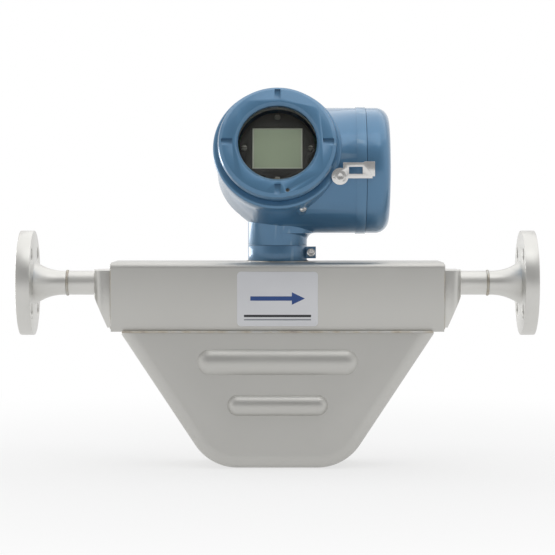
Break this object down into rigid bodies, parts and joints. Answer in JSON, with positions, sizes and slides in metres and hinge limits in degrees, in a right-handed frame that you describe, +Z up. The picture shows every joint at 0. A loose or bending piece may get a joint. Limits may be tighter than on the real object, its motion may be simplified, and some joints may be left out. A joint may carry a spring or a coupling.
{
  "type": "coriolis flow meter",
  "caption": "Flanged inline coriolis mass flow meter: V-shaped sensor case hung under a steel box, with a blue swivelling transmitter head that has a display and screwed covers.",
  "frame": {"origin": "centre of the inlet flange's raised sealing face, on the pipe axis", "axes": "+X along the flow to the outlet flange, +Z up to the transmitter head, -Y out of the display"},
  "size_m": [0.534, 0.1758, 0.3868],
  "materials": {
    "machined_steel": "machined stainless steel",
    "cast_steel": "cast stainless steel, fine blasted",
    "satin_steel": "stainless sheet with a fine blasted, satin face",
    "name_plate": "pale satin plate, plain",
    "coil": "enamelled copper winding",
    "magnet": "plated magnet",
    "feedthrough": "glass-sealed steel plug with pins",
    "blue_paint": "blue polyurethane paint on cast aluminium, semi-gloss",
    "seal_rubber": "black rubber",
    "window_glass": "clear toughened glass",
    "black_plastic": "dark moulded plastic",
    "display_panel": "grey-green display glass, switched off",
    "circuit_board": "green circuit board",
    "plug_steel": "turned stainless steel"
  },
  "bodies": {
    "sensor": {"inlet_flange": "machined_steel", "outlet_flange": "machined_steel", "inlet_manifold": "cast_steel", "outlet_manifold": "cast_steel", "housing_box": "satin_steel", "inlet_end_plate": "satin_steel", "outlet_end_plate": "satin_steel", "case_front_shell": "satin_steel", "case_back_shell": "satin_steel", "name_plate": "name_plate", "flow_tube_front": "machined_steel", "flow_tube_back": "machined_steel", "inlet_inner_brace": "cast_steel", "inlet_outer_brace": "cast_steel", "outlet_inner_brace": "cast_steel", "outlet_outer_brace": "cast_steel", "drive_coil": "coil", "drive_coil_bracket": "cast_steel", "drive_magnet": "magnet", "drive_magnet_bracket": "cast_steel", "inlet_pickoff_coil": "coil", "inlet_coil_bracket": "cast_steel", "inlet_pickoff_magnet": "magnet", "inlet_magnet_bracket": "cast_steel", "outlet_pickoff_coil": "coil", "outlet_coil_bracket": "cast_steel", "outlet_pickoff_magnet": "magnet", "outlet_magnet_bracket": "cast_steel", "temperature_sensor": "machined_steel", "feedthrough": "feedthrough", "neck_collar": "blue_paint", "neck_clamp_screw": "machined_steel"},
    "head": {"neck_seal": "seal_rubber", "transmitter_housing": "blue_paint", "display_bezel": "black_plastic", "lcd_panel": "display_panel", "display_board": "circuit_board", "display_screws": "machined_steel", "main_board": "circuit_board", "power_board": "circuit_board", "board_posts": "machined_steel", "terminal_block": "black_plastic", "terminal_screws": "machined_steel", "cover_clamp": "machined_steel", "cover_clamp_screw": "machined_steel", "conduit_plug": "plug_steel"},
    "display_cover_thread": {"display_cover_seal": "seal_rubber"},
    "display_cover": {"display_cover": "blue_paint", "display_window": "window_glass", "window_retainer": "machined_steel", "display_lock_screw": "machined_steel"},
    "terminal_cover_thread": {"terminal_cover_seal": "seal_rubber"},
    "terminal_cover": {"terminal_cover": "blue_paint"}
  },
  "joints": [
    {"name": "head_swivel", "type": "hinge", "parent": "sensor", "child": "head", "pos_m": [0.267, 0, 0.0433], "axis": [0, 0, 1], "range_deg": [-180, 180]},
    {"name": "display_cover_travel", "type": "slide", "parent": "head", "child": "display_cover_thread", "axis": [0, -0.9397, 0.342], "range_m": [0, 0.0075]},
    {"name": "display_cover_turn", "type": "hinge", "parent": "display_cover_thread", "child": "display_cover", "pos_m": [0.267, 0, 0.116], "axis": [0, -0.9397, 0.342], "range_deg": [0, 1800]},
    {"name": "terminal_cover_travel", "type": "slide", "parent": "head", "child": "terminal_cover_thread", "axis": [1, 0, 0], "range_m": [0, 0.0075]},
    {"name": "terminal_cover_turn", "type": "hinge", "parent": "terminal_cover_thread", "child": "terminal_cover", "pos_m": [0.267, 0, 0.116], "axis": [1, 0, 0], "range_deg": [0, 1800]}
  ],
  "couplings": [
    {"joint": "display_cover_travel", "follows": "display_cover_turn", "m_per_rad": 0.00023873},
    {"joint": "terminal_cover_travel", "follows": "terminal_cover_turn", "m_per_rad": 0.00023873}
  ]
}
